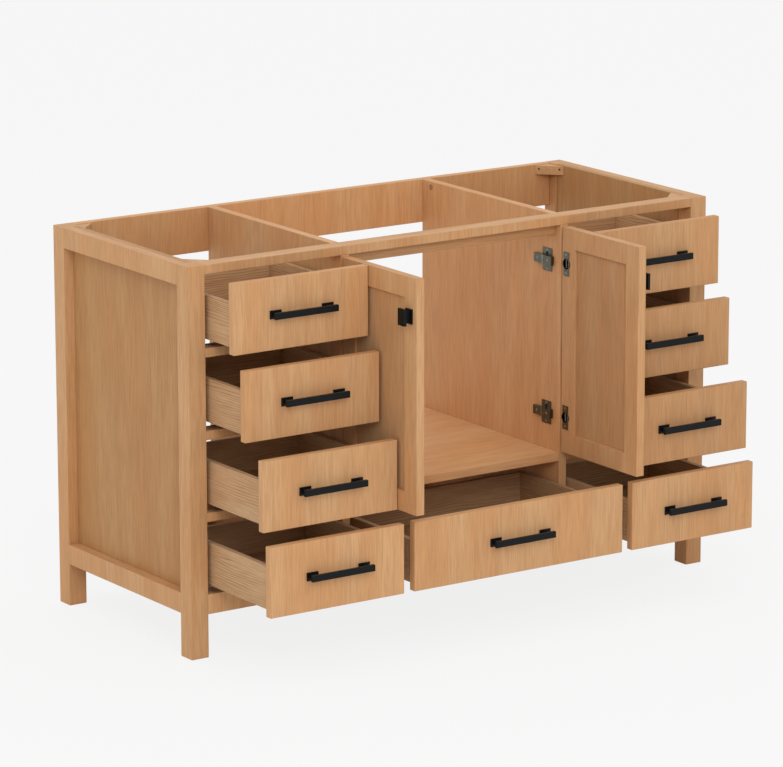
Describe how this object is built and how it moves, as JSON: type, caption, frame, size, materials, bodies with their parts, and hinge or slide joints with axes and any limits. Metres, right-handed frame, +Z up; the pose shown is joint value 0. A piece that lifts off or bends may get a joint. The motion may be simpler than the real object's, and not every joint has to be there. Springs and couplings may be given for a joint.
{
  "type": "bathroom vanity cabinet",
  "caption": "Free-standing bathroom vanity cabinet in pale oak with drawer banks beside a two-door compartment, open top for a basin.",
  "frame": {"origin": "on the floor, midway between the four feet", "axes": "+X along the front to the right, +Y to the back, +Z up"},
  "size_m": [1.372, 0.8352, 0.853],
  "materials": {
    "oak_veneer": "satin clear lacquer on honey oak veneer",
    "drawer_wood": "sealed solid wood drawer boxes",
    "inner_wood": "plain inner boards and blocks",
    "black_metal": "matt black powder coat",
    "hinge_steel": "nickel plated",
    "runner_steel": "zinc plated"
  },
  "bodies": {
    "cabinet": {"post_front_left": "oak_veneer", "post_front_right": "oak_veneer", "post_back_left": "oak_veneer", "post_back_right": "oak_veneer", "front_top_rail": "oak_veneer", "door_head_strip": "oak_veneer", "front_bottom_rail": "oak_veneer", "back_rails": "oak_veneer", "side_panels": "oak_veneer", "side_rails": "oak_veneer", "bottom_board": "inner_wood", "partitions": "oak_veneer", "compartment_floor": "oak_veneer", "divider_rails": "oak_veneer", "corner_blocks": "inner_wood", "cabinet_runners": "runner_steel", "hinge_arms": "hinge_steel"},
    "drawer_left_1": {"drawer_left_1_front": "oak_veneer", "drawer_left_1_box": "drawer_wood", "drawer_left_1_runners": "runner_steel", "drawer_left_1_pull": "black_metal"},
    "drawer_right_1": {"drawer_right_1_front": "oak_veneer", "drawer_right_1_box": "drawer_wood", "drawer_right_1_runners": "runner_steel", "drawer_right_1_pull": "black_metal"},
    "drawer_left_2": {"drawer_left_2_front": "oak_veneer", "drawer_left_2_box": "drawer_wood", "drawer_left_2_runners": "runner_steel", "drawer_left_2_pull": "black_metal"},
    "drawer_right_2": {"drawer_right_2_front": "oak_veneer", "drawer_right_2_box": "drawer_wood", "drawer_right_2_runners": "runner_steel", "drawer_right_2_pull": "black_metal"},
    "drawer_left_3": {"drawer_left_3_front": "oak_veneer", "drawer_left_3_box": "drawer_wood", "drawer_left_3_runners": "runner_steel", "drawer_left_3_pull": "black_metal"},
    "drawer_right_3": {"drawer_right_3_front": "oak_veneer", "drawer_right_3_box": "drawer_wood", "drawer_right_3_runners": "runner_steel", "drawer_right_3_pull": "black_metal"},
    "drawer_left_4": {"drawer_left_4_front": "oak_veneer", "drawer_left_4_box": "drawer_wood", "drawer_left_4_runners": "runner_steel", "drawer_left_4_pull": "black_metal"},
    "drawer_right_4": {"drawer_right_4_front": "oak_veneer", "drawer_right_4_box": "drawer_wood", "drawer_right_4_runners": "runner_steel", "drawer_right_4_pull": "black_metal"},
    "drawer_centre": {"drawer_centre_front": "oak_veneer", "drawer_centre_box": "drawer_wood", "drawer_centre_runners": "runner_steel", "drawer_centre_pull": "black_metal"},
    "door_left": {"door_left_frame": "oak_veneer", "door_left_panel": "oak_veneer", "door_left_knob": "black_metal", "door_left_hinge_cups": "hinge_steel"},
    "door_right": {"door_right_frame": "oak_veneer", "door_right_panel": "oak_veneer", "door_right_knob": "black_metal", "door_right_hinge_cups": "hinge_steel"}
  },
  "joints": [
    {"name": "drawer_left_1_slide", "type": "slide", "parent": "cabinet", "child": "drawer_left_1", "axis": [0, -1, 0], "range_m": [-0.1057, 0.1243]},
    {"name": "drawer_right_1_slide", "type": "slide", "parent": "cabinet", "child": "drawer_right_1", "axis": [0, -1, 0], "range_m": [-0.1057, 0.1243]},
    {"name": "drawer_left_2_slide", "type": "slide", "parent": "cabinet", "child": "drawer_left_2", "axis": [0, -1, 0], "range_m": [-0.1473, 0.1127]},
    {"name": "drawer_right_2_slide", "type": "slide", "parent": "cabinet", "child": "drawer_right_2", "axis": [0, -1, 0], "range_m": [-0.1473, 0.1127]},
    {"name": "drawer_left_3_slide", "type": "slide", "parent": "cabinet", "child": "drawer_left_3", "axis": [0, -1, 0], "range_m": [-0.2142, 0.0458]},
    {"name": "drawer_right_3_slide", "type": "slide", "parent": "cabinet", "child": "drawer_right_3", "axis": [0, -1, 0], "range_m": [-0.2142, 0.0458]},
    {"name": "drawer_left_4_slide", "type": "slide", "parent": "cabinet", "child": "drawer_left_4", "axis": [0, -1, 0], "range_m": [-0.2397, 0.0203]},
    {"name": "drawer_right_4_slide", "type": "slide", "parent": "cabinet", "child": "drawer_right_4", "axis": [0, -1, 0], "range_m": [-0.2397, 0.0203]},
    {"name": "drawer_centre_slide", "type": "slide", "parent": "cabinet", "child": "drawer_centre", "axis": [0, -1, 0], "range_m": [-0.2397, 0.0203]},
    {"name": "door_left_hinge", "type": "hinge", "parent": "cabinet", "child": "door_left", "pos_m": [-0.292, -0.268, 0.57525], "axis": [0, 0, -1], "range_deg": [-90, 0]},
    {"name": "door_right_hinge", "type": "hinge", "parent": "cabinet", "child": "door_right", "pos_m": [0.292, -0.268, 0.57525], "axis": [0, 0, 1], "range_deg": [-90, 0]}
  ]
}
